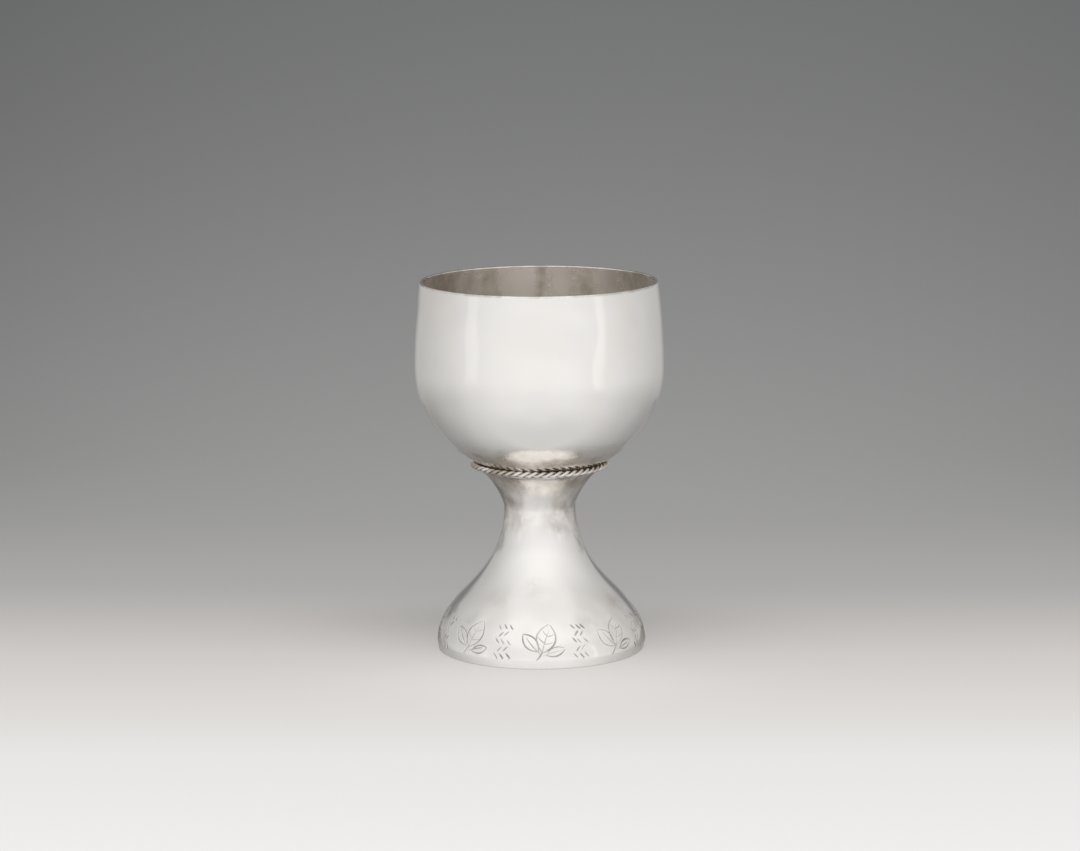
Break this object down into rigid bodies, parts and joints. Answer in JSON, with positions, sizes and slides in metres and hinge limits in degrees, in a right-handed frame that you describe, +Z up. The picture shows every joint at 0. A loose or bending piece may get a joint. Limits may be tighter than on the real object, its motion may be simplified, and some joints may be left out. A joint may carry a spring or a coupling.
{
  "type": "wine goblet",
  "caption": "Hand-raised silver wine goblet: a deep round bowl, open above, on a hollow waisted foot, with a twisted wire collar round the join.",
  "frame": {"origin": "centre of the foot's edge, on the surface the goblet stands on", "axes": "+Z up along the axis that the bowl and the foot are round about; the goblet is seen along +Y in the picture's view, with +X to the right"},
  "size_m": [0.0872, 0.0872, 0.13],
  "materials": {
    "silver_bowl": "polished",
    "silver_foot": "polished",
    "silver_wire": "polished"
  },
  "bodies": {
    "root": {"bowl": "silver_bowl", "foot": "silver_foot", "collar_wire_1": "silver_wire", "collar_wire_2": "silver_wire"}
  },
  "joints": []
}
